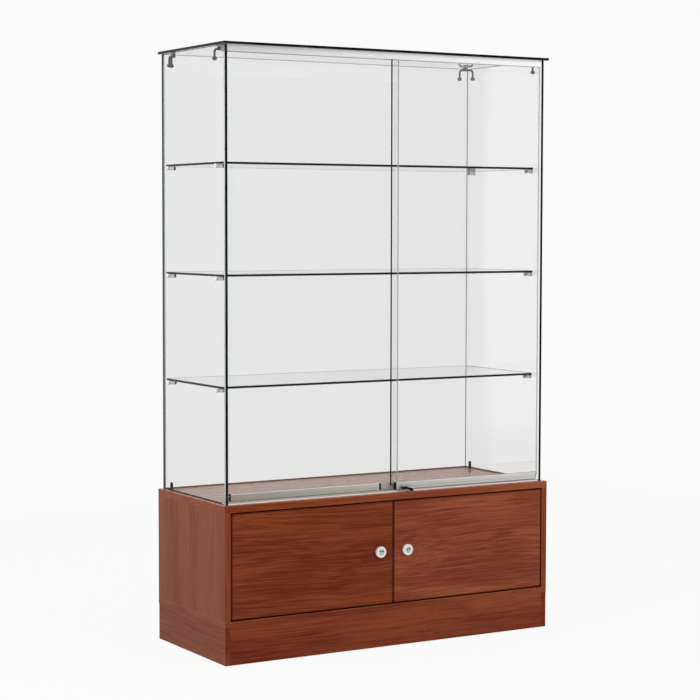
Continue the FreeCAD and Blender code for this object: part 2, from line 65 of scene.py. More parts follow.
# Index of refraction of plain panes, and of the left wall, which mirrors little in the photograph
FLOAT_GLASS = 1.5
COATED_GLASS = 1.12

# Polished rim of each pane, in metres: how far it stands proud, and how far it reaches in from the edges
RIM_PROUD = 0.00005
SHELF_RIM_PROUD = 0.0004
RIM_WRAP = 0.0007
LEAF_RIM_WRAP = 0.0022

# Share of the depth of a shelf from which its rim turns pale, with painted light coming through from behind
SHELF_PALE_FROM = 0.985

# How far the edging of the deck stands proud
BAND_PROUD = 0.00005

# Cherry print: repeats per metre across the grain and along it, and how far the grain sways
DRIFT = (9.0, 1.8)
BANDS = (70.0, 1.2)
STREAKS = (250.0, 2.8)
FIBRES = (420.0, 12.0)
SWAY = (5.0, 2.0)
SWAY_REACH = 0.032

# What each pattern adds to the figure of the print, at its low and high ends
DRIFT_SHARE = (-0.06, 0.06)
BANDS_SHARE = (0.02, 0.12)
STREAKS_SHARE = (-0.08, 0.54)
FIBRES_SHARE = (0.0, 0.40)

# Figure at which the print is dark and light, drift at which it turns warm, and fibres at which pores show
FIGURE_ENDS = (0.42, 0.58)
WARM_DRIFT = (0.45, 0.68)
WARM_SHARE = 0.85
WARM_IN_DARK = 0.35
PORE_FIBRES = (0.55, 0.75)
PORE_SHARE = 0.3

# Shift of the print per axis, strength and depth of its relief, and the part of a normal along an axis over
# which a face turns into an edging, and over which it loses its arris line
PRINT_SHIFT = (1.0, 0.7, 1.3)
PRINT_RELIEF = (0.2, 0.0002)
EDGING_FACING = (0.6, 0.8)
ARRIS_FACING = (0.2, 0.8)

# Painted highlight along an arris and painted shade line beside a door gap: how far they reach, and their
# strength
ARRIS = 0.003
ARRIS_SHARE = 0.35
GAP_SHADE = 0.0045
GAP_SHARE = 0.8

# Painted shade on the inner end of the shelf pins: from how far inside the wall glass, and the width of its
# soft edge
PIN_SHADE_FROM = 0.015
PIN_SHADE_EDGE = 0.0004

# Door shoes: painted highlight along the top, and the painted shade line of the groove below it with its
# half width
SHOE_TOP_HIGHLIGHT = 0.0036
SHOE_GROOVE = 0.014
GROOVE_HALF = 0.0009

# Shaded line along the top of the track lips
LIP_SHADE = 0.0035

# Strength of the lines along an extrusion, and the share of their half width that is even
MARK_SHARE = 0.7
MARK_CORE = 0.6

# Cupboard lock, in metres: reach of its rings from the axis, depth and rim of the key holes, which are
# painted in shade, and the foot at the door, painted as a contact shadow
LOCK_REACH = 0.020
KEY_HOLE_DEPTH = (0.0004, 0.0016)
KEY_HOLE_RIM = (0.0074, 0.0076)
LOCK_FOOT = (0.0062, 0.0100)

# Brown bead along the foot of the panes: leg of its section, and points on the curve
BEAD = 0.0036
BEAD_STEPS = 6

# Dark domes on the plugs of the cupboard locks: across and up from the middle, and radius
LOCK_DOMES = {"left": [(-0.0060, 0.0040, 0.0025), (0.0040, 0.0036, 0.0032)],
               "right": [(-0.0028, 0.0012, 0.0026), (0.0042, 0.0042, 0.0028)]}

# Each dome: height, end angle in degrees, rings and sides
PIN_HEIGHT = 0.0006
PIN_END = 80
PIN_RINGS = 5
PIN_SIDES = 20

# Moulded key heads: name, CAD node and body; half length, width and thickness; how the thickness grows to
# the far end, middle of the outline and of the eye along the head, and tilt down in degrees
KEY_HEADS = [("case_key_head", "case_key_bow", "lock_core",
              (0.0125, 0.0080, 0.0035), 0.2, 0.0025, 0.0062, 0.0),
             ("spare_key_head", "spare_key_bow", "key_bunch",
              (0.0082, 0.0080, 0.0039), 0.3, 0.0, -0.0038, 25.0)]

# Radius of a key's eye, stations and section points of a head, and the power that squares it up
KEY_EYE = 0.0029
KEY_STATIONS = 56
KEY_SECTION = 20
KEY_ROUND = 0.7

# Light levels: white to the eye, soft light on the part, dim room in front, left of the sheet, and screen
WHITE = 0.965
ROOM = 0.62
FRONT_ROOM = 0.17
BACK_LEFT = 0.66
SCREEN = 1.35

# Where the mirrored surroundings change, as parts of a unit direction
SHEET_FADE = (-0.40, -0.05)
SCREEN_EDGE = 0.564
SCREEN_SOFT = 0.004
FRONT_TO_BACK = (-0.50, 0.20)
FOOT_FADE = (-0.113, -0.098)

# What is left of sheet and screen at their foot
SHEET_FOOT = 0.55

# Floor: half its width, how much of it shows as plain white, how white, and its level in reflections
FLOOR_REACH = 3.0
FLOOR_GLOW = 0.93
FLOOR_WHITE = 0.985
FLOOR_MIRRORED = 0.50

# Soft lamps: place, aim, size and power
SOFTBOXES = {"left_box": ((-3.2, -0.6, 2.4), (0, 0, 0.7), 2.2, 60.0),
             "front_box": ((1.8, -3.6, 2.6), (0, 0, 0.8), 2.0, 60.0)}


def tone(red, green, blue):
    """Screen colour in 0 to 255 as the linear colour that a shader takes."""
    screen = np.array([red, green, blue]) / 255.0
    linear = np.where(screen <= 0.04045, screen / 12.92, ((screen + 0.055) / 1.055) ** 2.4)
    return (*linear.tolist(), 1.0)


# Shader building blocks

class Nodes:
    """Short calls that build one node tree."""

    def __init__(self, tree):
        self.tree = tree

    def add(self, kind, *links, **settings):
        """New node; links are (socket, source or value) pairs and settings are its properties."""
        node = self.tree.nodes.new(kind)
        for key, value in settings.items():
            setattr(node, key, value)
        for socket, source in links:
            self.feed(node.inputs[socket], source)
        return node

    def feed(self, socket, source):
        """Connect an output to a socket, or set a plain value on it."""
        if isinstance(source, bpy.types.NodeSocket):
            self.tree.links.new(source, socket)
        else:
            socket.default_value = source

    def spread(self, value, low, high, start=0.0, end=1.0, **settings):
        """Value between start and end brought to low and high."""
        links = [("Value", value), ("From Min", start), ("From Max", end)]
        links += [("To Min", low), ("To Max", high)]
        return self.add("ShaderNodeMapRange", *links, **settings).outputs["Result"]

    def sums(self, operation, first, second=0.0):
        """One step of arithmetic on two values."""
        return self.add("ShaderNodeMath", (0, first), (1, second), operation=operation).outputs["Value"]

    def blended(self, factor, first, second):
        """Two shaders mixed by a factor."""
        return self.add("ShaderNodeMixShader", (0, factor), (1, first), (2, second)).outputs[0]

    def seen_by(self, *rays):
        """One for the named kinds of ray, else zero."""
        path = self.add("ShaderNodeLightPath")
        total = path.outputs[rays[0]]
        for ray in rays[1:]:
            total = self.sums("MAXIMUM", total, path.outputs[ray])
        return total

    def after_reflection(self):
        """One for rays that a surface has reflected on their way, else zero."""
        return self.sums("MINIMUM", self.add("ShaderNodeLightPath").outputs["Glossy Depth"], 1.0)


class Finish(Nodes):
    """A material with one Principled shader and the patterns that feed it."""

    def __init__(self, name, **values):
        self.material = bpy.data.materials.new(name)
        self.material.use_nodes = True
        super().__init__(self.material.node_tree)
        self.skin = self.tree.nodes["Principled BSDF"]
        self.output = self.tree.nodes["Material Output"]
        self.where = self.tree.nodes.new("ShaderNodeTexCoord")
        for socket, value in values.items():
            self.skin.inputs[socket.replace("_", " ")].default_value = value

    def set(self, socket, source):
        """Feed one socket of the Principled shader."""
        self.feed(self.skin.inputs[socket], source)

    def axes(self, kind):
        """Object coordinates or the normal, split in X, Y and Z."""
        return self.add("ShaderNodeSeparateXYZ", (0, self.where.outputs[kind])).outputs

    def stretched(self, scale, shift=(0, 0, 0), source=None):
        """Object coordinates, or another vector, times a scale per axis."""
        start = source or self.where.outputs["Object"]
        links = [("Vector", start), ("Scale", scale), ("Location", shift)]
        return self.add("ShaderNodeMapping", *links).outputs["Vector"]

    def swayed(self, repeats, reach):
        """Object coordinates moved by a slow drift of up to half the reach per axis."""
        links = [("Vector", self.stretched(repeats)), ("Scale", 1.0), ("Detail", 1.0)]
        drift = self.add("ShaderNodeTexNoise", *links).outputs["Color"]
        links = [(0, drift), (1, (0.5, 0.5, 0.5))]
        centred = self.add("ShaderNodeVectorMath", *links, operation="SUBTRACT").outputs[0]
        links = [(0, centred), (1, reach), (2, self.where.outputs["Object"])]
        return self.add("ShaderNodeVectorMath", *links, operation="MULTIPLY_ADD").outputs[0]

    def noise(self, vector, detail, rough, warp=0.0):
        """Cloudy value from 0 to 1, one repeat per unit of the vector."""
        links = [("Vector", vector), ("Scale", 1.0), ("Detail", detail), ("Roughness", rough)]
        return self.add("ShaderNodeTexNoise", *links, ("Distortion", warp)).outputs["Fac"]

    def ramp(self, value, *stops):
        """Colour looked up from (position, colour) stops."""
        node = self.add("ShaderNodeValToRGB", ("Fac", value))
        band = node.color_ramp
        while len(band.elements) < len(stops):
            band.elements.new(0.5)
        for element, (position, colour) in zip(band.elements, stops):
            element.position = position
            element.color = colour
        return node.outputs["Color"]

    def mixed(self, factor, first, second, how="MIX"):
        """Two colours mixed by a factor."""
        links = [(0, factor), (6, first), (7, second)]
        return self.add("ShaderNodeMix", *links, data_type="RGBA", blend_type=how).outputs[2]

    def painted_light_to_right(self, colour, brighter):
        """Colour that goes over to a brighter one, if one is given, towards the right end of the case: a
        painted reflection of surroundings that grow brighter to the right.
        """
        if brighter is None:
            return colour
        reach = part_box("top_channel")[1][0]
        share = self.spread(self.axes("Object")["X"], 0.0, 1.0, -reach, reach)
        return self.mixed(share, colour, brighter)

    def bump(self, height, strength, depth):
        """Small relief on the surface, depth in metres."""
        links = [("Height", height), ("Strength", strength), ("Distance", depth)]
        self.set("Normal", self.add("ShaderNodeBump", *links).outputs["Normal"])

    def paint(self, *names):
        """Give the finish to CAD nodes by name."""
        for name in names:
            mesh = nodes[name].data
            mesh.materials.clear()
            mesh.materials.append(self.material)


# Finishes of the wooden base

def cherry_laminate(name, along, face, edgings=(), arrises=(), shift=0.0, right=None, gloss=0.15,
                    polish=(0.34, 0.46)):
    """Cherry print along one axis: warm drifts, bands, streaks and fibres under a satin skin.

    face holds (dark, light, warm) tones, and right, if given, those that it reaches at the right end,
    painted lighter there for the stronger light and sheen.
    edgings are (axis, tones) pairs for the faces square to that axis.
    arrises are (axis, place, tone, share, reach) of the lines along the rim: painted highlights on arrises
    and painted shade beside door gaps.
    shift moves the print, gloss is its specular level and polish its roughness from dark to light.
    """
    finish = Finish(name, Specular_IOR_Level=gloss)
    axis = "XYZ".index(along)
    offset = tuple(shift * share for share in PRINT_SHIFT)

    def by_grain(across, lengthwise):
        values = [across] * 3
        values[axis] = lengthwise
        return values

    waving = finish.swayed(by_grain(*SWAY), by_grain(SWAY_REACH, 0.0))

    def grain(repeats, detail, rough, warp=0.0):
        vector = finish.stretched(by_grain(*repeats), offset, waving)
        return finish.noise(vector, detail, rough, warp)

    drift = grain(DRIFT, 2.0, 0.5, 0.5)
    bands = grain(BANDS, 2.0, 0.5, 0.2)
    streaks = grain(STREAKS, 3.0, 0.6)
    fibres = grain(FIBRES, 2.0, 0.6)
    slow = finish.sums("ADD", finish.spread(drift, *DRIFT_SHARE), finish.spread(bands, *BANDS_SHARE))
    fine = finish.sums("ADD", finish.spread(streaks, *STREAKS_SHARE), finish.spread(fibres, *FIBRES_SHARE))
    figure = finish.sums("ADD", slow, fine)
    glow = finish.spread(drift, 0.0, WARM_SHARE, *WARM_DRIFT)
    warmth = finish.sums("MULTIPLY", glow, finish.spread(figure, WARM_IN_DARK, 1.0, *FIGURE_ENDS))

    def toned(tones):
        dark, light, warm = tones
        return finish.mixed(warmth, finish.ramp(figure, *zip(FIGURE_ENDS, (dark, light))), warm)

    colour = toned(face)
    normal = finish.axes("Normal")
    place = finish.axes("Object")
    # Painted light: lighter tones towards the right end, where the light and its sheen are stronger
    if right:
        low, high = (end[0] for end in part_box("deck_panel"))
        colour = finish.mixed(finish.spread(place["X"], 0.0, 1.0, low, high), colour, toned(right))
    for letter, tones in edgings:
        square = finish.sums("ABSOLUTE", normal[letter])
        colour = finish.mixed(finish.spread(square, 0.0, 1.0, *EDGING_FACING), colour, toned(tones))
    # Painted highlight or shade line along a rim, broken up by the streaks
    for letter, value, line, share, reach in arrises:
        away = finish.sums("ABSOLUTE", finish.sums("SUBTRACT", place[letter], value))
        near = finish.spread(away, share, 0.0, reach / 4, reach)
        beside = finish.spread(finish.sums("ABSOLUTE", normal[letter]), 1.0, 0.0, *ARRIS_FACING)
        strength = finish.sums("MULTIPLY", near, beside)
        streaky = finish.sums("MULTIPLY", strength, finish.spread(streaks, 0.5, 1.5))
        colour = finish.mixed(streaky, colour, line)
    pores = finish.spread(fibres, 0.0, PORE_SHARE, *PORE_FIBRES)
    colour = finish.mixed(pores, colour, tone(150, 126, 118), "MULTIPLY")
    finish.set("Base Color", colour)
    finish.set("Roughness", finish.spread(figure, *polish))
    finish.bump(finish.sums("ADD", fibres, streaks), *PRINT_RELIEF)
    return finish


def rim_lines(node, letters, line, share, reach):
    """Arrises at the low and high ends of a node along each named axis."""
    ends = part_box(node)
    return [(letter, end["XYZ".index(letter)], line, share, reach) for letter in letters for end in ends]


def hardboard():
    """Brown pressed board with a fine fibre mottle."""
    finish = Finish("backing_board", Specular_IOR_Level=0.2)
    fibres = finish.noise(finish.stretched((420, 420, 420)), 5.0, 0.7, 1.5)
    cloud = finish.noise(finish.stretched((18, 18, 18)), 4.0, 0.6, 0.8)
    tint = finish.ramp(fibres, (0.3, tone(104, 64, 44)), (0.75, tone(134, 90, 66)))
    mottle = finish.spread(cloud, 0.0, 0.45, 0.35, 0.7)
    finish.set("Base Color", finish.mixed(mottle, tint, tone(98, 59, 40)))
    finish.set("Roughness", finish.spread(fibres, 0.5, 0.7))
    finish.bump(fibres, 0.3, 0.0002)
    return finish


# Finishes of the case and its fittings

def clear_glass(name, bending):
    """Glass whose body takes a little light; lamps and soft light pass straight through.

    bending is the index of refraction: less of it also mirrors less, as a coated pane does.
    """
    finish = Finish(name, Base_Color=(1, 1, 1, 1), IOR=bending, Transmission_Weight=1.0)
    smear = finish.noise(finish.stretched((3, 3, 3)), 4.0, 0.6, 0.5)
    finish.set("Roughness", finish.spread(smear, 0.0, 0.01, 0.5, 0.9))
    passing = finish.seen_by("Is Shadow Ray", "Is Diffuse Ray")
    open_pane = finish.add("ShaderNodeBsdfTransparent", ("Color", (0.975, 0.98, 0.977, 1)))
    pane = finish.blended(passing, finish.skin.outputs[0], open_pane.outputs[0])
    finish.feed(finish.output.inputs["Surface"], pane)
    body = finish.add("ShaderNodeVolumeAbsorption", ("Color", GLASS_BODY), ("Density", GLASS_DENSITY))
    finish.feed(finish.output.inputs["Volume"], body.outputs[0])
    return finish


def polished_rim(node, letter, first, last, begin):
    """Ground and polished rim of a pane, dark because it looks into the depth of the glass.

    The tone goes from the first to the last along one axis, as the light behind it does. begin is the share
    of the length from which it changes.
    """
    finish = Finish("rim_of_" + node, Specular_IOR_Level=0.15)
    low, high = (end["XYZ".index(letter)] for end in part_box(node))
    start = low + begin * (high - low)
    along = finish.spread(finish.axes("Object")[letter], 0.0, 1.0, start, high)
    depth = finish.noise(finish.stretched((14, 14, 14)), 3.0, 0.6, 0.4)
    lines = finish.noise(finish.stretched((900, 900, 900)), 2.0, 0.5)
    colour = finish.mixed(along, first, last)
    haze = finish.spread(depth, 0.0, 0.16, 0.4, 0.8)
    finish.set("Base Color", finish.mixed(haze, colour, tone(96, 110, 104)))
    finish.set("Roughness", finish.spread(lines, 0.12, 0.30))
    finish.bump(lines, 0.1, 0.00005)
    return finish


def extrusion(name, deep, pale, metal, brighter=None, marks=()):
    """Satin extrusion with die lines along X; brighter is the tone of painted reflection that it reaches at
    the right end.

    marks are (height, half width, tone) of painted highlight and shade lines where its profile catches or
    hides the light.
    """
    finish = Finish(name, Metallic=metal, Anisotropic=0.4)
    lines = finish.noise(finish.stretched((3, 2600, 2600)), 3.0, 0.6)
    haze = finish.noise(finish.stretched((9, 60, 60)), 3.0, 0.5)
    colour = finish.painted_light_to_right(finish.ramp(haze, (0.3, deep), (0.7, pale)), brighter)
    place = finish.axes("Object")
    for height, half, line in marks:
        away = finish.sums("ABSOLUTE", finish.sums("SUBTRACT", place["Z"], height))
        colour = finish.mixed(finish.spread(away, MARK_SHARE, 0.0, half * MARK_CORE, half), colour, line)
    finish.set("Base Color", colour)
    finish.set("Roughness", finish.spread(lines, 0.30, 0.46))
    finish.bump(lines, 0.2, 0.00005)
    return finish


def plated(name, deep, pale, rough=0.16, metal=1.0, brighter=None):
    """Plated casting with a faint polish haze; brighter is the tone of painted reflection that it reaches
    at the right end.
    """
    finish = Finish(name, Metallic=metal)
    haze = finish.noise(finish.stretched((220, 220, 220)), 4.0, 0.6)
    finish.set("Base Color", finish.painted_light_to_right(finish.ramp(haze, (0.3, deep), (0.7, pale)), brighter))
    finish.set("Roughness", finish.spread(haze, rough, rough + 0.16))
    finish.bump(haze, 0.1, 0.0001)
    return finish


def shaded_end_pin():
    """Bright shelf pin with painted shade on its inner end, darker on the left; the tone turns by X."""
    finish = Finish("shelf_pin", Metallic=0.2)
    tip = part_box("glass_side_right")[0][0] - PIN_SHADE_FROM
    across = finish.axes("Object")["X"]
    haze = finish.noise(finish.stretched((260, 260, 260)), 3.0, 0.6)
    bright = finish.ramp(haze, (0.3, tone(222, 222, 220)), (0.7, tone(242, 242, 240)))
    to_right = finish.spread(across, 0.0, 1.0, -tip, tip)
    # Painted shade of the end faces, darker on the left
    end_shade = finish.mixed(to_right, tone(46, 46, 46), tone(172, 172, 170))
    inner = finish.spread(finish.sums("ABSOLUTE", across), 1.0, 0.0, tip - PIN_SHADE_EDGE, tip)
    finish.set("Base Color", finish.mixed(inner, bright, end_shade))
    finish.set("Roughness", finish.spread(haze, 0.18, 0.34))
    finish.bump(haze, 0.1, 0.0001)
    return finish


def lock_face(node):
    """Turned nickel lock: rings by distance from the lock's axis, with painted shade in the key holes and a
    painted shadow at the door.

    The distance is the length of (x, z) from the middle of the node, as a share of the reach of the rings.
    """
    low, high = (np.array(corner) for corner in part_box(node))
    middle = (low + high) / 2
    middle[1] = low[1]
    finish = Finish(node, Metallic=0.12, Specular_IOR_Level=0.4)
    place = finish.stretched((1, 1, 1), tuple(-middle))
    split = finish.add("ShaderNodeSeparateXYZ", (0, place)).outputs
    flat = finish.add("ShaderNodeCombineXYZ", ("X", split["X"]), ("Z", split["Z"])).outputs[0]
    away = finish.add("ShaderNodeVectorMath", (0, flat), operation="LENGTH").outputs["Value"]
    plug = [(0.0, tone(178, 194, 202)), (0.35, tone(190, 203, 209))]
    joint = [(0.385, tone(126, 132, 136)), (0.41, tone(188, 198, 202))]
    rosette = [(0.50, tone(236, 230, 226)), (0.74, tone(246, 239, 234)), (0.90, tone(236, 228, 222))]
    rings = finish.ramp(finish.spread(away, 0.0, 1.0, 0.0, LOCK_REACH), *plug, *joint, *rosette)
    turned = finish.noise(finish.stretched((30, 3000, 900)), 3.0, 0.6)
    marks = finish.spread(turned, 0.0, 0.35, 0.4, 0.8)
    rings = finish.mixed(marks, rings, tone(168, 164, 160), "MULTIPLY")
    # Painted shade in the sunk key holes, and a painted contact shadow at the foot by the door
    sunk = finish.spread(split["Y"], 0.0, 1.0, *KEY_HOLE_DEPTH)
    in_plug = finish.spread(away, 1.0, 0.0, *KEY_HOLE_RIM)
    foot = finish.spread(split["Y"], 0.0, 1.0, *LOCK_FOOT)
    dark = finish.sums("MAXIMUM", finish.sums("MULTIPLY", sunk, in_plug), foot)
    finish.set("Base Color", finish.mixed(dark, rings, tone(30, 22, 18)))
    finish.set("Roughness", finish.spread(turned, 0.22, 0.40))
    finish.bump(turned, 0.1, 0.0001)
    return finish


def plain_steel():
    """Turned steel with drawing marks."""
    finish = Finish("plain_steel", Metallic=1.0)
    marks = finish.noise(finish.stretched((40, 900, 900)), 3.0, 0.6)
    finish.set("Base Color", finish.ramp(marks, (0.3, tone(196, 196, 194)), (0.7, tone(214, 214, 212))))
    finish.set("Roughness", finish.spread(marks, 0.28, 0.45))
    finish.bump(marks, 0.15, 0.0001)
    return finish


def moulded(name, deep, pale, rough, grain, gloss=0.4):
    """Moulded polymer with a fine spark-eroded grain."""
    finish = Finish(name, Specular_IOR_Level=gloss)
    speck = finish.noise(finish.stretched((grain, grain, grain)), 3.0, 0.6)
    finish.set("Base Color", finish.ramp(speck, (0.3, deep), (0.75, pale)))
    finish.set("Roughness", finish.spread(speck, rough - 0.06, rough + 0.08))
    finish.bump(speck, 0.25, 0.0001)
    return finish


def dress_wood():
    """Cherry boards of the base."""
    front = (tone(101, 34, 10), tone(127, 58, 29), tone(140, 66, 28))
    # Painted light: the right door and the right ends of plinth, bottom and deck band take lighter tones,
    # for the stronger light and sheen there
    front_lit_right = (tone(114, 46, 28), tone(143, 73, 48), tone(157, 85, 50))
    plinth = (tone(98, 30, 9), tone(123, 54, 28), tone(131, 60, 30))
    plinth_right = (tone(110, 42, 20), tone(135, 66, 40), tone(143, 72, 42))
    # The side tones are lighter and greyer than the front ones: a painted sheen of the light that the sides
    # catch at a grazing angle
    side = (tone(107, 53, 30), tone(128, 72, 53), tone(132, 74, 48))
    edge = (tone(113, 45, 17), tone(138, 66, 36), tone(144, 71, 36))
    band_left = (tone(113, 41, 11), tone(138, 62, 29), tone(144, 67, 29))
    band_lit_right = (tone(131, 62, 37), tone(156, 83, 55), tone(162, 88, 55))
    side_edge = (tone(115, 56, 30), tone(138, 75, 46), tone(144, 80, 46))
    deck = (tone(145, 86, 62), tone(162, 103, 78), tone(167, 106, 76))
    inside = (tone(112, 44, 20), tone(136, 60, 34), tone(140, 64, 34))
    # Painted light on the rims: a highlight where an arris catches the light, and shade beside the door
    # gaps
    gap_shade_line, arris_highlight = tone(70, 22, 8), tone(164, 108, 80)
    for label, tones, shift in (("left", front, 0.0), ("right", front_lit_right, 3.7)):
        door = "cupboard_door_" + label
        edges = [("X", inside), ("Z", inside)]
        lines = rim_lines(door, "XZ", gap_shade_line, GAP_SHARE, GAP_SHADE)
        cherry_laminate("cherry_door_" + label, "X", tones, edges, lines, shift).paint(door)
    skirting = cherry_laminate("cherry_plinth", "X", plinth, shift=8.1, right=plinth_right)
    skirting.paint("plinth_front", "plinth_back")
    cherry_laminate("cherry_deck", "X", deck, shift=5.2, gloss=0.6, polish=(0.22, 0.32)).paint("deck_panel")
    deck_rim = rim_lines("deck_panel", "Z", arris_highlight, ARRIS_SHARE, ARRIS)[1:]
    ends = [("X", side_edge)]
    band = cherry_laminate("cherry_deck_band", "X", band_left, ends, deck_rim, 6.4, band_lit_right)
    ring_round("deck_panel", "deck_band", band, "cabinet", BAND_PROUD, -BAND_PROUD)
    bottom_rim = rim_lines("bottom_panel", "Z", arris_highlight, ARRIS_SHARE, ARRIS)[1:]
    bottom = cherry_laminate("cherry_bottom", "X", plinth, [("X", side)], bottom_rim, 5.8, plinth_right)
    bottom.paint("bottom_panel")
    # Side panels and plinth sides take the side tones with their painted sheen
    sides = cherry_laminate("cherry_side", "Z", side, [("Y", edge)], shift=1.9)
    sides.paint("side_panel_left", "side_panel_right")
    plinth_sides = cherry_laminate("cherry_plinth_side", "Y", side, [("Y", plinth)], shift=2.6)
    plinth_sides.paint("plinth_left", "plinth_right")
    cherry_laminate("cherry_partition", "Z", edge, shift=4.4).paint("partition")
    hardboard().paint("back_panel", "plinth_rail")


def dress_fittings():
    """Glass, metal, polymer and rubber of the case and the locks."""
    clear_glass("clear_glass", FLOAT_GLASS).paint(*[name for name in nodes if "glass" in name])
    clear_glass("coated_glass", COATED_GLASS).paint("glass_side_left")
    shoe_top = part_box("left_door_shoe")[1][2]
    # Painted highlight along the top of the shoes and painted shade in their groove
    marks = [(shoe_top, SHOE_TOP_HIGHLIGHT, tone(240, 238, 230)),
             (shoe_top - SHOE_GROOVE, GROOVE_HALF, tone(152, 153, 147))]
    # Painted reflection: the right-hand metal tones are brighter, as the surroundings they mirror grow
    # brighter to the right
    grey, grey_lit_right = (tone(160, 153, 145), tone(170, 163, 155)), tone(222, 221, 218)
    shoes = extrusion("anodised_aluminium", *grey, 0.15, grey_lit_right, marks)
    shoes.paint("left_door_shoe", "right_door_shoe")
    # Painted reflection: brighter towards the right end
    pale, pale_lit_right = (tone(206, 207, 206), tone(216, 217, 215)), tone(255, 255, 254)
    extrusion("channel_aluminium", *pale, 0.05, pale_lit_right).paint("top_channel")
    lips = [(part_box("bottom_track")[1][2], LIP_SHADE, tone(132, 128, 120))]
    track = extrusion("track_aluminium", tone(248, 243, 237), tone(254, 250, 244), 0.0, marks=lips)
    track.paint("bottom_track")
    for label in ("left", "right"):
        lock = "lock_rosette_" + label
        lock_face(lock).paint(lock, "lock_plug_" + label)
    bright = plated("nickel_hardware", tone(205, 203, 199), tone(226, 224, 220), metal=0.6)
    bright.paint("showcase_lock_barrel", "showcase_lock_plug")
    bright.paint("key_ring", "case_key_blade", "spare_key_blade")
    # Painted reflection: brighter towards the right end
    dull, dull_lit_right = (tone(90, 87, 79), tone(112, 108, 99)), tone(138, 138, 136)
    plated("grey_connectors", *dull, 0.24, 0.4, dull_lit_right).paint("corner_connectors")
    shaded_end_pin().paint(*[name for name in nodes if name.startswith("shelf_pins")])
    plain_steel().paint("pivot_pins_left", "pivot_pins_right", "left_door_axles", "right_door_axles")
    extrusion("strike_steel", tone(172, 165, 157), tone(186, 179, 170), 0.15).paint("showcase_strike")
    black = moulded("black_plastic", tone(8, 8, 8), tone(20, 20, 20), 0.42, 900, 0.2)
    black.paint("pivot_bushes", "deck_pegs", "left_door_end_caps", "right_door_end_caps")
    black.paint("case_key_bow", "spare_key_bow")
    rubber = moulded("black_rubber", tone(14, 14, 14), tone(28, 28, 28), 0.7, 700, 0.2)
    rubber.paint("left_door_gasket", "right_door_gasket", "strike_stop")
    nylon = moulded("white_nylon", tone(214, 212, 204), tone(232, 230, 224), 0.5, 600)
    nylon.paint(*[name for name in nodes if "_roller_" in name])


# New pieces

def piece(name, points, faces, finish, body):
    """Mesh object from points and faces, with its normals turned outwards, that rides a body."""
    mesh = bpy.data.meshes.new(name)
    mesh.from_pydata(points.reshape(-1, 3).tolist(), [], faces)
    work = bmesh.new()
    work.from_mesh(mesh)
    bmesh.ops.recalc_face_normals(work, faces=work.faces)
    work.to_mesh(mesh)
    work.free()
    mesh.materials.append(finish.material)
    obj = bpy.data.objects.new(name, mesh)
    bpy.context.scene.collection.objects.link(obj)
    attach(obj, body)
    return obj


def walls(index, ahead_of):
    """Quads between each row of a grid of point numbers and the row given for it."""
    beside = np.roll(index, -1, axis=1)
    beside_ahead = np.roll(ahead_of, -1, axis=1)
    return np.stack([index, beside, beside_ahead, ahead_of], axis=-1).reshape(-1, 4).tolist()


def swept(name, stations, finish, body):
    """Closed tube through an (n, m, 3) array, m section points at each of n stations, with capped ends."""
    index = np.arange(stations.shape[0] * stations.shape[1]).reshape(stations.shape[:2])
    faces = walls(index[:-1], index[1:]) + [index[0, ::-1].tolist(), index[-1].tolist()]
    return piece(name, stations, faces, finish, body)


def looped(name, stations, finish, body):
    """Closed ring through an (n, m, 3) array, m section points at each of n stations, joined end to end."""
    index = np.arange(stations.shape[0] * stations.shape[1]).reshape(stations.shape[:2])
    return piece(name, stations, walls(index, np.roll(index, -1, axis=0)), finish, body)


def ring_round(node, name, finish, body, proud, cover, wrap=RIM_WRAP):
    """Ring round the four edges of a board or pane.

    The section is a block that stands proud of the edges, reaches in by wrap, and covers the faces by cover
    or, where that is negative, stays short of them. It is carried round the rectangle: each section point
    (out, across) stands at the corner (half width + out, half height + out) with its sign, and across along
    the thin axis.
    """
    low, high = (np.array(corner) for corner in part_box(node))
    middle, half = (low + high) / 2, (high - low) / 2
    thin = int(np.argmin(half))
    wide, tall = [axis for axis in range(3) if axis != thin]
    reach = half[thin] + cover
    out = np.array([proud, proud, -wrap, -wrap])
    across = np.array([-reach, reach, reach, -reach])
    signs = np.array([[-1, -1], [1, -1], [1, 1], [-1, 1]])
    points = np.tile(middle, (4, 4, 1))
    points[..., wide] += signs[:, :1] * (half[wide] + out)
    points[..., tall] += signs[:, 1:] * (half[tall] + out)
    points[..., thin] += across
    looped(name, points, finish, body)


def pane_rims():
    """Rims of all panes: near black where they look into deep glass, pale where the sheet lights them."""
    black, lit = tone(7, 9, 8), tone(206, 212, 209)
    panes = [("glass_top", "X", black, black),
             ("glass_side_left", "Y", tone(9, 11, 10), tone(84, 90, 88)),
             ("glass_side_right", "Y", tone(14, 17, 16), tone(160, 168, 164)),
             ("glass_back", "X", tone(150, 158, 154), tone(150, 158, 154)),
             ("left_door_glass", "X", lit, tone(182, 187, 184)),
             ("right_door_glass", "X", tone(14, 17, 16), tone(190, 196, 193))]
    panes += [("glass_shelf_" + level, "Y", black, lit) for level in ("lower", "middle", "upper")]
    bodies = frame["record"]["behaviour"]["bodies"]
    body_of = {node: body for body, held in bodies.items() for node in held}
    for node, letter, first, last in panes:
        proud = SHELF_RIM_PROUD if "shelf" in node else RIM_PROUD
        wrap = LEAF_RIM_WRAP if "door" in node else RIM_WRAP
        begin = SHELF_PALE_FROM if "shelf" in node else 0.0
        finish = polished_rim(node, letter, first, last, begin)
        ring_round(node, "rim_of_" + node, finish, body_of[node], proud, proud, wrap)


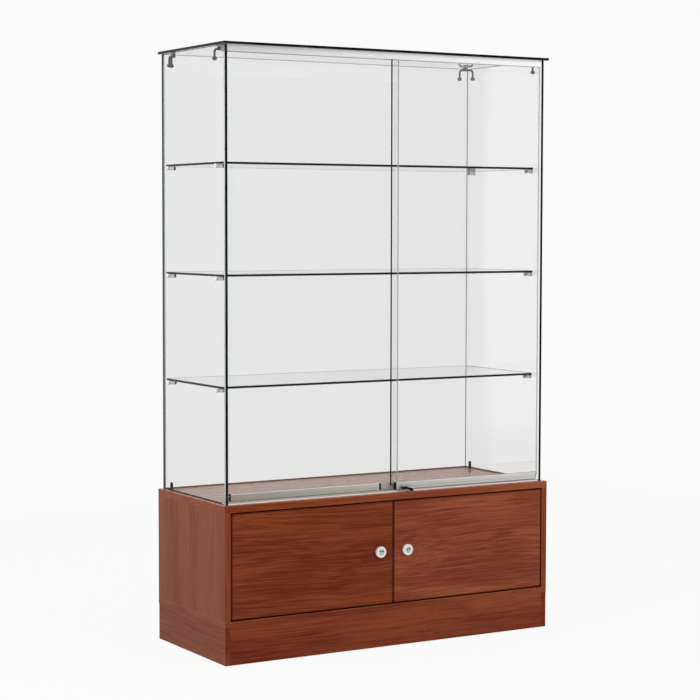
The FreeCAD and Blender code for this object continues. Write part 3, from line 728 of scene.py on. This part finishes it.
def lock_domes():
    """Two small dark domes on the plug of each cupboard lock.

    Each is a dome turned about Y: radius times cos t, and height times sin t in front of the face, with t
    from 0 to the end angle, and a flat tip and foot.
    """
    finish = moulded("lock_dome", tone(10, 10, 10), tone(24, 24, 24), 0.4, 900, 0.2)
    t = np.radians(np.linspace(0, PIN_END, PIN_RINGS))[:, None]
    turn = np.linspace(0, 2 * math.pi, PIN_SIDES, endpoint=False)[None, :]
    for label, places in LOCK_DOMES.items():
        low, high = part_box("lock_rosette_" + label)
        middle = ((low[0] + high[0]) / 2, low[1], (low[2] + high[2]) / 2)
        for number, (across, up, radius) in enumerate(places):
            x = middle[0] + across + radius * np.cos(t) * np.cos(turn)
            y = np.broadcast_to(middle[1] - PIN_HEIGHT * np.sin(t), x.shape)
            z = middle[2] + up + radius * np.cos(t) * np.sin(turn)
            name = "driver_pin_%s_%d" % (label, number)
            swept(name, np.stack([x, y, z], axis=-1), finish, label + "_cupboard_lock")


def key_heads():
    """Moulded heads of the two keys, each with a round eye for the ring.

    The outline is half length times cos u and half width times sin u, each raised to a power that squares
    it up. A rounded section runs from eye to outline: (1 + cos t) / 2 of the way and thickness times sin t
    up, raised in the same manner, and the thickness grows with cos u along the head.
    """
    finish = moulded("key_moulding", tone(7, 7, 7), tone(17, 17, 17), 0.42, 900, 0.2)

    def squared(wave):
        return np.sign(wave) * np.abs(wave) ** KEY_ROUND

    u = np.linspace(0, 2 * math.pi, KEY_STATIONS, endpoint=False)[:, None]
    t = np.linspace(0, 2 * math.pi, KEY_SECTION, endpoint=False)[None, :]
    share = (1 + squared(np.cos(t))) / 2
    for name, node, body, (length, width, thick), lean, middle, eye, tilt in KEY_HEADS:
        low, high = (np.array(corner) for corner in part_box(node))
        centre = (low + high) / 2
        eye_x = eye + KEY_EYE * np.cos(u)
        eye_y = KEY_EYE * np.sin(u)
        x = eye_x + share * (middle + length * squared(np.cos(u)) - eye_x)
        y = eye_y + share * (width * squared(np.sin(u)) - eye_y)
        z = thick * (1 + lean * np.cos(u)) * squared(np.sin(t))
        down = math.radians(tilt)
        along = x * math.cos(down) + z * math.sin(down)
        up = z * math.cos(down) - x * math.sin(down)
        head = looped(name, centre + np.stack([along, y, up], axis=-1), finish, body)
        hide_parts(node)


def pane_foot_bead():
    """Brown bead in the angle between the deck and the left, back and right panes.

    The section is a hollow quarter round: leg times (1 - sin t) out from the glass and (1 - cos t) up, with
    t from 0 to 90 degrees, closed by the corner itself. It is carried from the track along the left wall,
    the back and the right wall, mitred in the corners.
    """
    finish = moulded("brown_bead", tone(94, 68, 57), tone(122, 92, 80), 0.5, 500, 0.3)
    left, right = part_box("glass_side_left")[1][0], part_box("glass_side_right")[0][0]
    front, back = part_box("bottom_track")[1][1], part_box("glass_back")[0][1]
    deck_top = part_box("deck_panel")[1][2]
    t = np.linspace(0.0, math.pi / 2, BEAD_STEPS)
    out = np.append(BEAD * (1 - np.sin(t)), 0.0)
    up = np.append(BEAD * (1 - np.cos(t)), 0.0)
    at_track = np.full_like(out, front)
    x = np.stack([left + out, left + out, right - out, right - out])
    y = np.stack([at_track, back - out, back - out, at_track])
    z = np.broadcast_to(deck_top + up, x.shape)
    swept("pane_foot_bead", np.stack([x, y, z], axis=-1), finish, "cabinet")


# Stage, light and camera

def floor():
    """Level square, x and y from minus to plus the reach, that shows white and keeps a soft shadow."""
    reach = np.array([-FLOOR_REACH, FLOOR_REACH])
    x, y = np.meshgrid(reach, reach)
    points = np.stack([x.ravel(), y.ravel(), np.zeros(4)], axis=1)
    mesh = bpy.data.meshes.new("floor")
    mesh.from_pydata(points.tolist(), [], [(0, 1, 3, 2)])
    obj = bpy.data.objects.new("floor", mesh)
    bpy.context.scene.collection.objects.link(obj)
    finish = Finish("floor", Base_Color=(0.82, 0.82, 0.82, 1), Roughness=0.9, Specular_IOR_Level=0.0)

    def glow(strength):
        links = [("Color", (1, 1, 1, 1)), ("Strength", strength)]
        return finish.add("ShaderNodeEmission", *links).outputs[0]

    share = finish.sums("MULTIPLY", finish.seen_by("Is Camera Ray", "Is Transmission Ray"), FLOOR_GLOW)
    seen = finish.blended(share, finish.skin.outputs[0], glow(FLOOR_WHITE))
    both = finish.blended(finish.after_reflection(), seen, glow(FLOOR_MIRRORED))
    finish.feed(finish.output.inputs["Surface"], both)
    mesh.materials.append(finish.material)


def surroundings():
    """White to the eye and through glass; reflections see a white sheet behind and a dim room in front.

    The sheet is dimmer towards the left, as far as the edge of a white screen there. Both fade at the foot.
    """
    world = bpy.data.worlds.new("studio")
    bpy.context.scene.world = world
    world.use_nodes = True
    air = Nodes(world.node_tree)

    def sky(strength):
        links = [("Color", (1, 1, 1, 1)), ("Strength", strength)]
        return air.add("ShaderNodeBackground", *links).outputs[0]

    direction = air.add("ShaderNodeTexCoord").outputs["Generated"]
    way = air.add("ShaderNodeSeparateXYZ", (0, direction)).outputs
    sheet = air.spread(way["X"], BACK_LEFT, WHITE, *SHEET_FADE)
    screen = air.spread(way["X"], SCREEN, 0.0, -SCREEN_EDGE - SCREEN_SOFT, -SCREEN_EDGE + SCREEN_SOFT)
    foot = air.spread(way["Z"], SHEET_FOOT, 1.0, *FOOT_FADE)
    behind = air.sums("MULTIPLY", air.sums("MAXIMUM", sheet, screen), foot)
    share = air.spread(way["Y"], 0.0, 1.0, *FRONT_TO_BACK, interpolation_type="SMOOTHSTEP")
    rest = air.sums("SUBTRACT", FRONT_ROOM, air.sums("MULTIPLY", share, FRONT_ROOM))
    mirrored = air.sums("ADD", rest, air.sums("MULTIPLY", behind, share))
    direct = air.blended(air.seen_by("Is Camera Ray", "Is Transmission Ray"), sky(ROOM), sky(WHITE))
    both = air.blended(air.after_reflection(), direct, sky(mirrored))
    air.feed(world.node_tree.nodes["World Output"].inputs["Surface"], both)


def softbox(name, place, aim, size, power):
    """Square lamp at a place, turned to its aim."""
    lamp = bpy.data.lights.new(name, "AREA")
    lamp.size = size
    lamp.energy = power
    obj = bpy.data.objects.new(name, lamp)
    obj.location = place
    obj.visible_glossy = False
    obj.visible_transmission = False
    obj.visible_camera = False
    obj.rotation_euler = (Vector(aim) - Vector(place)).to_track_quat("-Z", "Y").to_euler()
    bpy.context.scene.collection.objects.link(obj)


def camera():
    """Camera where the photograph was taken: yaw to the right of +Y, pitch down, small roll."""
    yaw, pitch, roll = (math.radians(angle) for angle in (YAW, PITCH, ROLL))
    ahead = Vector((math.sin(yaw) * math.cos(pitch), math.cos(yaw) * math.cos(pitch), -math.sin(pitch)))
    right = Vector((math.cos(yaw), -math.sin(yaw), 0))
    up = right.cross(ahead)
    rolled_right = right * math.cos(roll) + up * math.sin(roll)
    rolled_up = up * math.cos(roll) - right * math.sin(roll)
    turn = Matrix((rolled_right, rolled_up, -ahead)).transposed().to_4x4()
    lens = bpy.data.cameras.new("camera")
    lens.sensor_width = SENSOR
    lens.sensor_fit = "HORIZONTAL"
    lens.lens = SENSOR * FOCAL_WIDTHS
    lens.clip_end = FAR_END
    obj = bpy.data.objects.new("camera", lens)
    obj.matrix_world = Matrix.Translation(EYE) @ turn
    bpy.context.scene.collection.objects.link(obj)
    bpy.context.scene.camera = obj


def main():
    """Finishes of the CAD nodes, then the new pieces, the stage, the light and the camera."""
    bpy.context.scene.view_settings.view_transform = "Standard"
    dress_wood()
    dress_fittings()
    pane_rims()
    lock_domes()
    key_heads()
    pane_foot_bead()
    floor()
    surroundings()
    for name, (place, aim, size, power) in SOFTBOXES.items():
        softbox(name, place, aim, size, power)
    camera()


main()
